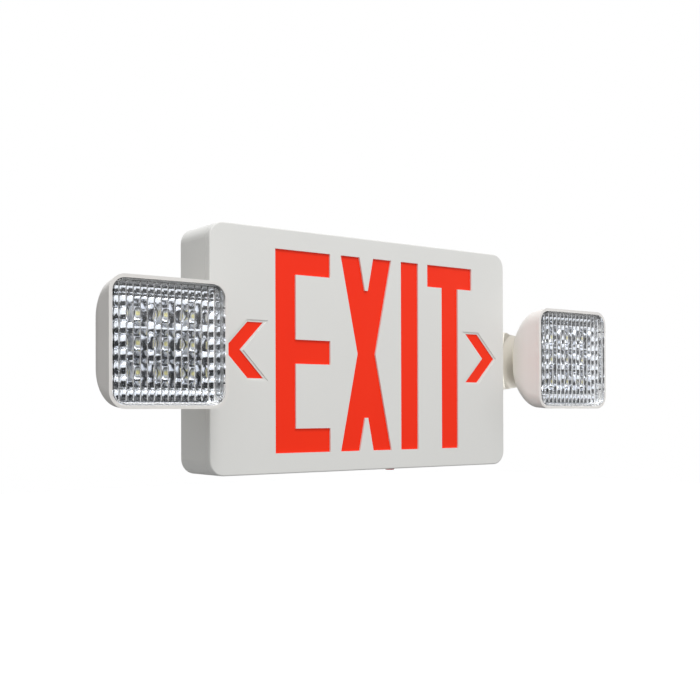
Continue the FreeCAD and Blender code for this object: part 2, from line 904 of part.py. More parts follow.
def tilt_slot():
    """Slot that lets the dome roll on the bolt through the tilt range."""
    half = bolt_radius + slot_play
    deep = dome_radius + 2 * head_wall
    shallow = dome_radius - 2 * head_wall
    angle = math.radians(tilt_limit)
    start = V(0, shallow * math.cos(angle), -shallow * math.sin(angle))
    end = V(0, deep * math.cos(angle), -deep * math.sin(angle))
    middle_out = V(0, deep, 0)
    middle_in = V(0, shallow, 0)
    flip = V(0, shallow * math.cos(angle), shallow * math.sin(angle))
    top = V(0, deep * math.cos(angle), deep * math.sin(angle))
    edges = [Part.LineSegment(start, end).toShape(), Part.Arc(end, middle_out, top).toShape(),
             Part.LineSegment(top, flip).toShape(), Part.Arc(flip, middle_in, start).toShape()]
    sector = Part.Face(Part.Wire(edges)).extrude(V(2 * half, 0, 0))
    sector.translate(V(-half, 0, 0))
    ends = [rod(half, tuple(start), tuple(end)), rod(half, tuple(flip), tuple(top))]
    slot = join(sector, *ends)
    slot.translate(V(head_x, tilt_y, 0))
    return slot


mouth_width = head_width - 2 * head_wall
mouth_height = head_height - 2 * head_wall
mouth_corner = head_corner - head_wall
seat_depth = flange_depth + flange_thickness


def moved_to_head(shape):
    """Carries a shape drawn about the Y axis to the head's centre line."""
    shape.translate(V(head_x, 0, 0))
    return shape


def head_shell():
    seat = head_front + seat_depth
    mouth = rounded_block(mouth_width, mouth_height, mouth_corner, head_front - beyond, seat)
    shell = dome_solid(0).cut([dome_solid(head_wall), moved_to_head(mouth)])
    ledge = ring_block(head_width - head_wall, head_height - head_wall, head_corner - head_wall / 2,
                       head_wall / 2 + seat_rim, seat, seat + seat_thickness)
    ledge = moved_to_head(ledge).common(dome_solid(head_wall / 2))
    return join(shell, ledge).cut(tilt_slot())


def lens():
    width = mouth_width - 2 * snug
    height = mouth_height - 2 * snug
    corner = mouth_corner - snug
    face = head_front - lens_proud
    back = face + lens_thickness
    plate = rounded_block(width, height, corner, face, back)
    rim = [e for e in plate.Edges if e.BoundBox.YMax < face + 1e-6]
    plate = plate.makeFillet(lens_edge_round, rim)
    skirt = ring_block(width, height, corner, lens_skirt, back, head_front + flange_depth)
    field = width - 2 * lens_border
    tall = height - 2 * lens_border
    pitch = field / flute_count
    edges = []
    for number in range(flute_count):
        left = -field / 2 + number * pitch
        crest = V(left + pitch / 2, back + flute_height, -tall / 2)
        edges.append(Part.Arc(V(left, back, -tall / 2), crest, V(left + pitch, back, -tall / 2)).toShape())
    closing = [V(field / 2, back, -tall / 2), V(field / 2, back - lens_thickness / 2, -tall / 2),
               V(-field / 2, back - lens_thickness / 2, -tall / 2), V(-field / 2, back, -tall / 2)]
    for first, second in zip(closing, closing[1:]):
        edges.append(Part.LineSegment(first, second).toShape())
    flutes = Part.Face(Part.Wire(edges)).extrude(V(0, 0, tall))
    return moved_to_head(join(plate, flutes, skirt))


def cup_places():
    return [(a * cup_pitch, b * cup_pitch) for a in (-1, 0, 1) for b in (-1, 0, 1)]


def ridge_bars(width, plate_front):
    """Half-round ridges that run across the reflector's plate."""
    height = ridge_pitch * ridge_count
    low = -height / 2
    sunk = plate_front + reflector_wall / 2
    corners = [V(0, plate_front, -low), V(0, sunk, -low), V(0, sunk, low), V(0, plate_front, low)]
    edges = [Part.LineSegment(first, second).toShape() for first, second in zip(corners, corners[1:])]
    for number in range(ridge_count):
        start = V(0, plate_front, low + number * ridge_pitch)
        end = start + V(0, 0, ridge_pitch)
        crest = start + V(0, -ridge_height, ridge_pitch / 2)
        edges.append(Part.Arc(start, crest, end).toShape())
    bars = Part.Face(Part.Wire(edges)).extrude(V(width, 0, 0))
    bars.translate(V(-width / 2, 0, 0))
    return bars


def reflector():
    """Shallow bright tray with a ridged floor and nine cups."""
    front = head_front + flange_depth
    flange_back = front + flange_thickness
    plate_front = head_front + reflector_plate_depth
    plate_back = plate_front + reflector_wall
    rim = seat_rim + reflector_wall
    flange = ring_block(mouth_width - 2 * fit, mouth_height - 2 * fit, mouth_corner - fit, rim,
                        front, flange_back)
    width = mouth_width - 2 * seat_rim - 2 * fit
    height = mouth_height - 2 * seat_rim - 2 * fit
    corner = mouth_corner - seat_rim - fit
    tray = rounded_block(width, height, corner, front, plate_back)
    pocket = rounded_block(width - 2 * reflector_wall, height - 2 * reflector_wall, corner - reflector_wall,
                           front, plate_front)
    inside = rounded_block(width - reflector_wall, height - reflector_wall, corner - reflector_wall / 2,
                           front, plate_back)
    body = join(flange, tray.cut(pocket), ridge_bars(width, plate_front).common(inside))
    cup_depth = led_board_depth - reflector_plate_depth + ridge_height
    cup_slope = (cup_mouth - cup_floor) / cup_depth
    cups = []
    bowls = []
    for x, z in cup_places():
        shell_depth = led_board_depth - reflector_plate_depth
        seat = V(x, plate_front, z)
        outer = cup_floor + cup_slope * shell_depth + reflector_wall
        cups.append(Part.makeCone(outer, cup_floor + reflector_wall, shell_depth, seat, ALONG_Y))
        mouth = V(x, plate_front - ridge_height, z)
        bowls.append(Part.makeCone(cup_mouth, cup_floor, cup_depth, mouth, ALONG_Y))
    board_face = head_front + led_board_depth
    places = four_places(led_post_place, led_post_place)
    posts = [rod(led_post_radius, (x, plate_back - reflector_wall / 2, z), (x, board_face, z))
             for x, z in places]
    holes = [rod(screw_radius, (x, board_face - screw_grip / 2, z), (x, board_face, z)) for x, z in places]
    return moved_to_head(join(body, *cups, *posts).cut(bowls + holes))


led_board_front = head_front + led_board_depth
led_board_back = led_board_front + led_board_thickness


def led_board():
    half = led_board_size / 2
    sheet = block((-half, led_board_front, -half), (half, led_board_back, half))
    holes = [rod(screw_radius + snug, (x, led_board_front, z), (x, led_board_back, z))
             for x, z in four_places(led_post_place, led_post_place)]
    return moved_to_head(sheet.cut(holes))


def head_leds():
    half = led_size / 2
    leds = [block((x - half, led_board_front - led_height, z - half), (x + half, led_board_front, z + half))
            for x, z in cup_places()]
    return moved_to_head(group(leds))


def head_screws():
    tip = led_board_front - screw_grip / 2
    screws = [screw((x, tip, z), (x, led_board_back, z))
              for x, z in four_places(led_post_place, led_post_place)]
    return moved_to_head(group(screws))


sign_pieces = {
    "back_plate": back_plate, "housing_frame": housing_frame, "stencil_face": stencil_face,
    "legend_diffuser": legend_diffuser, "light_tray": light_tray, "strip_leds": strip_leds,
    "control_board": control_board, "transformer": transformer, "capacitors": capacitors,
    "terminal_block": terminal_block, "battery_pack": battery_pack, "battery_strap": battery_strap,
    "casing_screws": casing_screws, "board_screws": board_screws, "strap_screws": strap_screws,
    "arm_screws": arm_screws, "test_button": test_button, "button_spring": button_spring,
    "test_switch": test_switch, "switch_board": switch_board, "status_lamp": status_lamp,
}

side_pieces = {
    "arm": lamp_arm, "swivel_cup": swivel_cup, "swivel_bolt": swivel_bolt, "clamp_washer": clamp_washer,
    "swivel_washer": swivel_washer, "swivel_spring": swivel_spring, "swivel_nut": swivel_nut,
    "head_shell": head_shell, "lens": lens, "reflector": reflector, "led_board": led_board,
    "head_leds": head_leds, "head_screws": head_screws,
}


def all_pieces():
    """Every node's name and shape."""
    pieces = {name: build() for name, build in sign_pieces.items()}
    pieces["led_strip_upper"] = led_strip(1)
    pieces["led_strip_lower"] = led_strip(-1)
    for name, build in side_pieces.items():
        right = build()
        pieces["right_" + name] = right
        pieces["left_" + name] = mirrored(right)
    return pieces


os.makedirs("parts", exist_ok=True)
for name, shape in all_pieces().items():
    shape.exportStep(os.path.join("parts", name + ".step"))
    print(name, "solids", len(shape.Solids), "valid", shape.isValid(), "volume", round(shape.Volume, 1))
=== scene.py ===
import json
import math

import bmesh
import bpy
from mathutils import Matrix, Vector


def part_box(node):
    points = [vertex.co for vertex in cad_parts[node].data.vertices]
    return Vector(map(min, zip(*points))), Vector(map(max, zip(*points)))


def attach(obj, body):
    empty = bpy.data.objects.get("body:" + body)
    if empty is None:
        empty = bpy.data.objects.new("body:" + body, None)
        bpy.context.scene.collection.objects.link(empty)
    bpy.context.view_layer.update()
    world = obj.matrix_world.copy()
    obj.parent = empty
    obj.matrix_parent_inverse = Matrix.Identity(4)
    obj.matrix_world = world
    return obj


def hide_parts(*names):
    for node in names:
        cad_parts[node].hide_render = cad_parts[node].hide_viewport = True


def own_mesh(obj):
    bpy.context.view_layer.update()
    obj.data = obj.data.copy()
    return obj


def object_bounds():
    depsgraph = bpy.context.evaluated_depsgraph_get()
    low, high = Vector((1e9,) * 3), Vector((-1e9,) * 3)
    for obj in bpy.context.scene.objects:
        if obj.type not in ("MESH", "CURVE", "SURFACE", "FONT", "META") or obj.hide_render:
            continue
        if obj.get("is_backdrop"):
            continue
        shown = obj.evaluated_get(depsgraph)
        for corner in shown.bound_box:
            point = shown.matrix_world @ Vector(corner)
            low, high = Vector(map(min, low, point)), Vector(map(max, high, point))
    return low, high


MM = 0.001
SIDES = ("left", "right")

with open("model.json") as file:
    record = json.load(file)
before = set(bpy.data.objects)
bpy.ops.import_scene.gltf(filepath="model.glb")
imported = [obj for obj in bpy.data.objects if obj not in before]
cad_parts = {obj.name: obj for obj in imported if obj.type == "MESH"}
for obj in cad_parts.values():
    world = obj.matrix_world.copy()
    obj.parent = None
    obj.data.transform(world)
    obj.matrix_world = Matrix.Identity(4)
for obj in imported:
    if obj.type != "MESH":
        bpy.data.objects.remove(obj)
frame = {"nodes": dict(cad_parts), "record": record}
cad_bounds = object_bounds()
nodes = frame["nodes"]


# Colours and node helpers; noise scales are in waves per metre

PLASTIC_DRIFT = 14.0
PLASTIC_SHEEN_DRIFT = 60.0
PLASTIC_SHEEN_SWING = 0.06
PLASTIC_GRAIN = 2600.0
PLASTIC_GRAIN_STRENGTH = 0.35
PLASTIC_GRAIN_DEPTH = 0.03 * MM
METAL_DRIFT = 90.0
METAL_SHEEN_DRIFT = 300.0
METAL_SHEEN_SWING = 0.08
METAL_GRAIN_STRENGTH = 0.3
LEAST_ROUGHNESS = 0.02


def srgb(red, green, blue):
    """Scene colour from 0-255 display values."""
    channels = []
    for value in (red, green, blue):
        value /= 255
        channels.append(value / 12.92 if value <= 0.04045 else ((value + 0.055) / 1.055) ** 2.4)
    return (*channels, 1.0)


def shader(name, colour, roughness, metallic=0.0, specular=0.5):
    """A material with its Principled shader, ready for more nodes."""
    material = bpy.data.materials.new(name)
    material.use_nodes = True
    bsdf = material.node_tree.nodes["Principled BSDF"]
    bsdf.inputs["Base Color"].default_value = colour
    bsdf.inputs["Roughness"].default_value = roughness
    bsdf.inputs["Metallic"].default_value = metallic
    bsdf.inputs["Specular IOR Level"].default_value = specular
    return material, bsdf


def noise(material, scale, detail=3.0):
    """Noise over the piece's own coordinates."""
    tree = material.node_tree
    place = tree.nodes.new("ShaderNodeTexCoord")
    texture = tree.nodes.new("ShaderNodeTexNoise")
    texture.inputs["Scale"].default_value = scale
    texture.inputs["Detail"].default_value = detail
    texture.inputs["Roughness"].default_value = 0.55
    tree.links.new(place.outputs["Object"], texture.inputs["Vector"])
    return texture.outputs["Fac"]


def mottle(material, bsdf, first, second, scale):
    """Base colour that drifts between two close colours."""
    tree = material.node_tree
    mix = tree.nodes.new("ShaderNodeMix")
    mix.data_type = "RGBA"
    mix.inputs["A"].default_value = first
    mix.inputs["B"].default_value = second
    tree.links.new(noise(material, scale), mix.inputs["Factor"])
    tree.links.new(mix.outputs["Result"], bsdf.inputs["Base Color"])
    return mix.outputs["Result"]


def vary_roughness(material, bsdf, low, high, scale):
    """Roughness that drifts between two values."""
    tree = material.node_tree
    remap = tree.nodes.new("ShaderNodeMapRange")
    remap.inputs["To Min"].default_value = low
    remap.inputs["To Max"].default_value = high
    tree.links.new(noise(material, scale), remap.inputs["Value"])
    tree.links.new(remap.outputs["Result"], bsdf.inputs["Roughness"])


def grain(material, bsdf, scale, strength, depth):
    """Fine surface bump."""
    tree = material.node_tree
    bump = tree.nodes.new("ShaderNodeBump")
    bump.inputs["Strength"].default_value = strength
    bump.inputs["Distance"].default_value = depth
    tree.links.new(noise(material, scale, detail=2.0), bump.inputs["Height"])
    tree.links.new(bump.outputs["Normal"], bsdf.inputs["Normal"])


def moulded_plastic(name, first, second, roughness):
    """Moulded plastic with a faint spark-eroded grain and slight colour drift."""
    material, bsdf = shader(name, first, roughness)
    mottle(material, bsdf, first, second, PLASTIC_DRIFT)
    vary_roughness(material, bsdf, roughness - PLASTIC_SHEEN_SWING,
                   roughness + PLASTIC_SHEEN_SWING, PLASTIC_SHEEN_DRIFT)
    grain(material, bsdf, PLASTIC_GRAIN, PLASTIC_GRAIN_STRENGTH, PLASTIC_GRAIN_DEPTH)
    return material


def metal(name, first, second, roughness, grain_scale=900.0, grain_depth=0.01 * MM):
    """Plated or bare metal with an uneven sheen."""
    material, bsdf = shader(name, first, roughness, metallic=1.0)
    mottle(material, bsdf, first, second, METAL_DRIFT)
    vary_roughness(material, bsdf, max(roughness - METAL_SHEEN_SWING, LEAST_ROUGHNESS),
                   roughness + METAL_SHEEN_SWING, METAL_SHEEN_DRIFT)
    grain(material, bsdf, grain_scale, METAL_GRAIN_STRENGTH, grain_depth)
    return material


# Materials

def legend_material():
    """Red acrylic with a painted glow: a little emission stands in for light from the light box behind it."""
    first = srgb(234, 40, 14)
    second = srgb(240, 50, 16)
    material, bsdf = shader("legend_red_acrylic", first, 0.4, specular=0.2)
    colour = mottle(material, bsdf, first, second, 9.0)
    # Painted glow: the legend's own red is given off as light, though no lamp shines behind it
    material.node_tree.links.new(colour, bsdf.inputs["Emission Color"])
    bsdf.inputs["Emission Strength"].default_value = 0.18
    grain(material, bsdf, 900.0, 0.15, 0.02 * MM)
    return material


def lens_material():
    """Clear polycarbonate that lets the lamps shine through to the reflector."""
    material, bsdf = shader("clear_lens_plastic", srgb(248, 250, 252), 0.02)
    bsdf.inputs["Transmission Weight"].default_value = 1.0
    bsdf.inputs["IOR"].default_value = 1.5
    vary_roughness(material, bsdf, 0.01, 0.05, 120.0)
    tree = material.node_tree
    clear = tree.nodes.new("ShaderNodeBsdfTransparent")
    path = tree.nodes.new("ShaderNodeLightPath")
    mix = tree.nodes.new("ShaderNodeMixShader")
    tree.links.new(path.outputs["Is Shadow Ray"], mix.inputs["Fac"])
    tree.links.new(bsdf.outputs["BSDF"], mix.inputs[1])
    tree.links.new(clear.outputs["BSDF"], mix.inputs[2])
    tree.links.new(mix.outputs["Shader"], tree.nodes["Material Output"].inputs["Surface"])
    return material


def board_material(name, first, second):
    """Solder mask with faint copper tracks under it."""
    material, bsdf = shader(name, first, 0.35)
    tree = material.node_tree
    place = tree.nodes.new("ShaderNodeTexCoord")
    tracks = tree.nodes.new("ShaderNodeTexBrick")
    tracks.inputs["Scale"].default_value = 180.0
    tracks.inputs["Color1"].default_value = first
    tracks.inputs["Color2"].default_value = second
    tracks.inputs["Mortar"].default_value = second
    tree.links.new(place.outputs["Object"], tracks.inputs["Vector"])
    tree.links.new(tracks.outputs["Color"], bsdf.inputs["Base Color"])
    return material


# Slot: name, colour, second colour, roughness
PLASTICS = {
    "casing_white": ("casing_white_plastic", (233, 233, 230), (229, 229, 226), 0.48),
    "arm_white": ("arm_white_plastic", (235, 231, 222), (231, 227, 217), 0.46),
    "head_white": ("head_white_plastic", (235, 233, 229), (231, 228, 225), 0.42),
    "tray_white": ("tray_white_plastic", (240, 240, 240), (235, 235, 235), 0.6),
    "led_yellow": ("led_phosphor", (248, 236, 150), (250, 243, 190), 0.3),
    "terminal_plastic": ("terminal_green_plastic", (46, 128, 84), (40, 116, 76), 0.45),
    "battery_sleeve": ("battery_blue_sleeve", (36, 84, 160), (30, 74, 146), 0.35),
    "button_red": ("button_red_plastic", (206, 40, 34), (196, 34, 30), 0.35),
    "switch_black": ("switch_black_plastic", (28, 28, 28), (36, 36, 36), 0.5),
    "lamp_green": ("lamp_green_plastic", (70, 186, 84), (60, 172, 74), 0.25),
}
METALS = {
    "transformer_steel": ("transformer_laminations", (110, 108, 104), (90, 88, 86), 0.5),
    "can_metal": ("capacitor_cans", (70, 76, 110), (56, 62, 96), 0.4),
    "plated_steel": ("plated_steel", (196, 197, 200), (176, 178, 182), 0.3),
}
BOARDS = {
    "board_green": ("board_green_mask", (28, 96, 52), (38, 118, 62)),
    "board_white": ("board_white_mask", (232, 232, 228), (218, 218, 214)),
}

materials = {
    "legend_red": legend_material(),
    "clear_lens": lens_material(),
    "reflector_chrome": metal("reflector_vacuum_chrome", srgb(242, 243, 246), srgb(232, 234, 240),
                              0.1, 400.0, 0.02 * MM),
}
for slot, (name, first, second, roughness) in PLASTICS.items():
    materials[slot] = moulded_plastic(name, srgb(*first), srgb(*second), roughness)
for slot, (name, first, second, roughness) in METALS.items():
    materials[slot] = metal(name, srgb(*first), srgb(*second), roughness)
for slot, (name, first, second) in BOARDS.items():
    materials[slot] = board_material(name, srgb(*first), srgb(*second))


def dress(obj, slot):
    """Gives an object the material of a slot."""
    obj.data.materials.clear()
    obj.data.materials.append(materials[slot])


for subpart in frame["record"]["subparts"]:
    dress(nodes[subpart["node"]], subpart["material_slot"])


# Mesh helpers

MERGE_DISTANCE = 0.004 * MM


def grid_faces(columns, rows, closed=False):
    """Quads over a grid of points stored row by row."""
    faces = []
    spans = columns if closed else columns - 1
    for row in range(rows - 1):
        for column in range(spans):
            a = row * columns + column
            b = row * columns + (column + 1) % columns
            faces.append((a, b, b + columns, a + columns))
    return faces


class Builder:
    """Gathers points and faces of one piece."""

    def __init__(self):
        self.points = []
        self.faces = []

    def add(self, points, faces):
        start = len(self.points)
        self.points.extend(points)
        self.faces.extend(tuple(start + corner for corner in face) for face in faces)

    def rings(self, rings):
        """Joins closed rings of equally many points."""
        flat = [point for ring in rings for point in ring]
        self.add(flat, grid_faces(len(rings[0]), len(rings), closed=True))

    def cap(self, ring):
        """Closes a ring with one flat face."""
        self.add(ring, [tuple(range(len(ring)))])

    def piece(self, name, body, slot):
        """Makes the piece, smooth shaded, and lets it ride on a body."""
        mesh = bpy.data.meshes.new(name)
        mesh.from_pydata([tuple(point) for point in self.points], [], self.faces)
        mesh.validate()
        work = bmesh.new()
        work.from_mesh(mesh)
        bmesh.ops.remove_doubles(work, verts=work.verts, dist=MERGE_DISTANCE)
        bmesh.ops.recalc_face_normals(work, faces=work.faces)
        work.to_mesh(mesh)
        work.free()
        for polygon in mesh.polygons:
            polygon.use_smooth = True
        obj = bpy.data.objects.new(name, mesh)
        bpy.context.scene.collection.objects.link(obj)
        dress(obj, slot)
        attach(obj, body)
        return obj


def rounded_outline(half_w, half_h, corner, steps=10):
    """Points round a rectangle with round corners, anticlockwise in X and Z."""
    points = []
    for number, (sx, sz) in enumerate(((1, 1), (-1, 1), (-1, -1), (1, -1))):
        for step in range(steps + 1):
            angle = math.pi / 2 * (number + step / steps)
            points.append((sx * (half_w - corner) + corner * math.cos(angle),
                           sz * (half_h - corner) + corner * math.sin(angle)))
    return points


def half_width_at(z, half_w, half_h, corner):
    """Half the width of that rounded rectangle at a height."""
    past = abs(z) - (half_h - corner)
    if past <= 0:
        return half_w
    return half_w - corner + math.sqrt(max(corner * corner - past * past, 0.0))


# Lamp heads: fluted lens, ridged reflector with nine cups, LEDs

CUP_PITCH = 20.0 * MM
CUP_GRID = [(a, b) for a in (-1, 0, 1) for b in (-1, 0, 1)]

LENS_EDGE = 1.1 * MM
LENS_EDGE_STEPS = 6
LENS_PLATE = 2.0 * MM
LENS_SKIRT = 1.5 * MM
LENS_CORNER = 9.35 * MM
LENS_SHARP_ANGLE = 35
FLUTES = 15
FLUTE_HEIGHT = 0.9 * MM
FLUTE_STEPS = 12
FLUTE_MARGIN_SIDE = 4.1 * MM
FLUTE_MARGIN_TOP = 1.3 * MM
FLUTE_MARGIN_BOTTOM = 3.0 * MM

REFLECTOR_CORNER = 9.2 * MM
REFLECTOR_PLAY = 0.2 * MM
REFLECTOR_DEPTH = 2.0 * MM
REFLECTOR_SHARP_ANGLE = 50
CUP_RADIUS = 9.5 * MM
CUP_FLOOR_RADIUS = 3.4 * MM
CUP_FLOOR_LIFT = 0.4 * MM
CUP_CURVE = 1.8
CUP_RINGS = 9
CUP_SIDES = 64
PLATE_BANDS = 5
RIDGE_PITCH = 9.3 * MM
RIDGE_HEIGHT = 2.0 * MM
RIDGE_NARROWING = 1.9
RIDGE_AT_RIM = 0.55
RIDGE_STEPS = 14
RIDGES_EACH_WAY = 4
CROWN = 3.4 * MM
FIELD_HALF = 1.5 * CUP_PITCH

LED_HALF = 2.5 * MM
LED_CORNER = 0.4 * MM
LED_CORNER_STEPS = 3
LED_BEVEL = 0.2 * MM
LED_LID_INSET = 1.0 * MM
LED_DOME_RADIUS = 1.5 * MM
LED_DOME_HEIGHT = 0.5 * MM
LED_DOME_RINGS = 6
LED_DOME_SIDES = 24


def lens_piece(side):
    """Clear cover with a rounded front edge, a skirt and upright flutes on its inner face."""
    low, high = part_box(side + "_lens")
    centre_x = (low.x + high.x) / 2
    half_w = (high.x - low.x) / 2
    half_h = (high.z - low.z) / 2
    back = low.y + LENS_PLATE

    def ring(inset, y):
        outline = rounded_outline(half_w - inset, half_h - inset, LENS_CORNER - inset)
        return [(centre_x + x, y, z) for x, z in outline]

    built = Builder()
    angles = [math.pi / 2 * step / LENS_EDGE_STEPS for step in range(LENS_EDGE_STEPS + 1)]
    edge = [ring(LENS_EDGE * (1 - math.sin(a)), low.y + LENS_EDGE * (1 - math.cos(a)))
            for a in angles]
    built.rings(edge + [ring(0, high.y), ring(LENS_SKIRT, high.y), ring(LENS_SKIRT, back)])
    built.cap(edge[0])
    inner_w = half_w - LENS_SKIRT
    inner_h = half_h - LENS_SKIRT
    inner_corner = LENS_CORNER - LENS_SKIRT
    field = half_w - FLUTE_MARGIN_SIDE
    pitch = 2 * field / FLUTES
    places = [x for x, z in rounded_outline(inner_w, inner_h, inner_corner)]
    places += [-field + pitch * step / FLUTE_STEPS for step in range(FLUTES * FLUTE_STEPS + 1)]
    columns = []
    for x in sorted(places):
        tall = half_width_at(x, inner_h, inner_w, inner_corner)
        share = 2 * ((x + field) / pitch % 1.0) - 1
        rise = FLUTE_HEIGHT * (1 - share * share) if abs(x) < field else 0.0
        top = min(half_h - FLUTE_MARGIN_TOP, tall)
        bottom = max(FLUTE_MARGIN_BOTTOM - half_h, -tall)
        levels = ((-tall, 0), (bottom, 0), (bottom, rise), (top, rise), (top, 0), (tall, 0))
        columns.append([(centre_x + x, back + lift, z) for z, lift in levels])
    inner_face = [point for column in columns for point in column]
    built.add(inner_face, grid_faces(len(columns[0]), len(columns)))
    piece = built.piece(side + "_lens_fluted", side + "_head", "clear_lens")
    piece.data.set_sharp_from_angle(angle=math.radians(LENS_SHARP_ANGLE))
    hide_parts(side + "_lens")


def ridge_rise(z):
    """Height of the half-round ridges across the reflector, with a flat margin past them."""
    if abs(z) > RIDGES_EACH_WAY * RIDGE_PITCH:
        return RIDGE_HEIGHT
    offset = (z / RIDGE_PITCH + 0.5) % 1.0 - 0.5
    return RIDGE_HEIGHT * math.sqrt(max(1.0 - (RIDGE_NARROWING * offset) ** 2, 0.0))


def crown(z):
    """How far the reflector's slightly crowned floor falls back at a height."""
    return CROWN * (z / (2 * CUP_PITCH)) ** 2


def cup_cell(centre_x, centre_z, plate_y, floor_y):
    """Square cell of the plate with a bowl in its middle."""
    rings = []
    for number in range(CUP_RINGS + PLATE_BANDS + 1):
        ring = []
        for corner in range(CUP_SIDES):
            angle = 2 * math.pi * (corner + 0.5) / CUP_SIDES
            cosine = math.cos(angle)
            sine = math.sin(angle)
            if number <= CUP_RINGS:
                share = number / CUP_RINGS
                reach = CUP_FLOOR_RADIUS + (CUP_RADIUS - CUP_FLOOR_RADIUS) * share
                z = centre_z + reach * sine
                rim_y = plate_y + crown(z) - ridge_rise(z) * RIDGE_AT_RIM
                y = floor_y + (rim_y - floor_y) * share ** CUP_CURVE
            else:
                share = (number - CUP_RINGS) / PLATE_BANDS
                square = CUP_PITCH / 2 / max(abs(cosine), abs(sine))
                reach = CUP_RADIUS + (square - CUP_RADIUS) * share
                z = centre_z + reach * sine
                y = plate_y + crown(z) - ridge_rise(z)
            ring.append((centre_x + reach * cosine, y, z))
        rings.append(ring)
    return rings


def reflector_piece(side):
    """Bright tray: ridged floor, nine bowls and a low wall round it."""
    low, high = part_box(side + "_reflector")
    centre_x = (low.x + high.x) / 2
    plate_y = low.y + REFLECTOR_DEPTH
    floor_y = high.y - CUP_FLOOR_LIFT
    half_w = (high.x - low.x) / 2 - REFLECTOR_PLAY
    half_h = (high.z - low.z) / 2 - REFLECTOR_PLAY
    built = Builder()
    for a, b in CUP_GRID:
        built.rings(cup_cell(centre_x + a * CUP_PITCH, b * CUP_PITCH, plate_y, floor_y))

    def left_wall(z):
        return -half_width_at(z, half_w, half_h, REFLECTOR_CORNER)

    def right_wall(z):
        return half_width_at(z, half_w, half_h, REFLECTOR_CORNER)

    # Ridged strips above, below, left and right of the nine cells: ends in X, then in Z
    strips = ((left_wall, right_wall, FIELD_HALF, half_h),
              (left_wall, right_wall, -half_h, -FIELD_HALF),
              (left_wall, lambda z: -FIELD_HALF, -FIELD_HALF, FIELD_HALF),
              (lambda z: FIELD_HALF, right_wall, -FIELD_HALF, FIELD_HALF))
    for left_end, right_end, bottom, top in strips:
        rows = max(2, round((top - bottom) / (RIDGE_PITCH / RIDGE_STEPS))) + 1
        points = []
        for row in range(rows):
            z = bottom + (top - bottom) * row / (rows - 1)
            y = plate_y + crown(z) - ridge_rise(z)
            points += [(centre_x + left_end(z), y, z), (centre_x + right_end(z), y, z)]
        built.add(points, grid_faces(2, rows))
    outline = rounded_outline(half_w, half_h, REFLECTOR_CORNER)
    built.rings([[(centre_x + x, y, z) for x, z in outline] for y in (low.y, plate_y + CROWN)])
    piece = built.piece(side + "_reflector_bright", side + "_head", "reflector_chrome")
    piece.data.set_sharp_from_angle(angle=math.radians(REFLECTOR_SHARP_ANGLE))
    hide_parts(side + "_reflector")


def led_pieces(side):
    """Nine white LED packages, each with a low phosphor dome."""
    low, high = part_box(side + "_head_leds")
    centre_x = (low.x + high.x) / 2
    face = low.y + LED_DOME_HEIGHT
    levels = ((0.0, high.y), (0.0, face + LED_BEVEL), (LED_BEVEL, face), (LED_LID_INSET, face))
    packages = Builder()
    domes = Builder()
    for a, b in CUP_GRID:
        x = centre_x + a * CUP_PITCH
        z = b * CUP_PITCH
        package = []
        for inset, y in levels:
            half = LED_HALF - inset
            outline = rounded_outline(half, half, LED_CORNER + inset / 2, LED_CORNER_STEPS)
            package.append([(x + px, y, z + pz) for px, pz in outline])
        packages.rings(package)
        packages.cap(package[-1])
        dome = []
        for ring in range(LED_DOME_RINGS):
            tilt = math.pi / 2 * ring / (LED_DOME_RINGS - 0.5)
            reach = LED_DOME_RADIUS * math.cos(tilt)
            y = face - LED_DOME_HEIGHT * math.sin(tilt)
            turns = [2 * math.pi * part / LED_DOME_SIDES for part in range(LED_DOME_SIDES)]
            dome.append([(x + reach * math.cos(turn), y, z + reach * math.sin(turn))
                         for turn in turns])
        domes.rings(dome)
        domes.cap(dome[-1])
    white = packages.piece(side + "_led_packages", side + "_head", "tray_white")
    yellow = domes.piece(side + "_led_domes", side + "_head", "led_yellow")
    for piece in (white, yellow):
        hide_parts(side + "_head_leds")


for side in SIDES:
    lens_piece(side)
    reflector_piece(side)
    led_pieces(side)


# Test button's spring, built as one fixed coil; the real spring shortens as the button goes in

SPRING_TURNS = 4
SPRING_STEPS = 24
WIRE_RADIUS = 0.3 * MM
WIRE_SIDES = 10


def spring_piece():
    """Coil of round wire between the button's flange and the switch."""
    low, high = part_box("button_spring")
    centre_x = (low.x + high.x) / 2
    centre_y = (low.y + high.y) / 2
    radius = (high.x - low.x) / 2 - WIRE_RADIUS
    total = SPRING_TURNS * SPRING_STEPS
    rings = []
    for step in range(total + 1):
        turn = 2 * math.pi * step / SPRING_STEPS
        z = low.z + WIRE_RADIUS + (high.z - low.z - 2 * WIRE_RADIUS) * step / total
        ring = []
        for part in range(WIRE_SIDES):
            angle = 2 * math.pi * part / WIRE_SIDES
            reach = radius + WIRE_RADIUS * math.cos(angle)
            ring.append((centre_x + reach * math.cos(turn), centre_y + reach * math.sin(turn),
                         z + WIRE_RADIUS * math.sin(angle)))
        rings.append(ring)
    built = Builder()
    built.rings(rings)
    built.cap(rings[0])
    built.cap(rings[-1])
    piece = built.piece("button_coil", "root", "plated_steel")
    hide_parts("button_spring")
    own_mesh(piece)


spring_piece()


# Stage, light and camera

# Grey levels by direction: (height or depth from -1 to 1, level)
SOFT_HEIGHT = ((-1.0, 0.40), (-0.2, 0.62), (0.1, 0.97), (1.0, 1.3))
SOFT_DEPTH = ((-1.0, 0.78), (-0.3, 0.54), (0.0, 0.36), (0.4, 0.62), (1.0, 0.8))
MIRRORED_HEIGHT = ((-1.0, 1.2), (-0.65, 1.2), (-0.52, 0.03), (0.21, 0.02), (0.31, 1.3), (1.0, 1.5))
MIRRORED_SLANT = 0.35

FLOOR_SIZE = 8.0
FLOOR_HEIGHT = -0.42
FLOOR_LIFT = 0.45

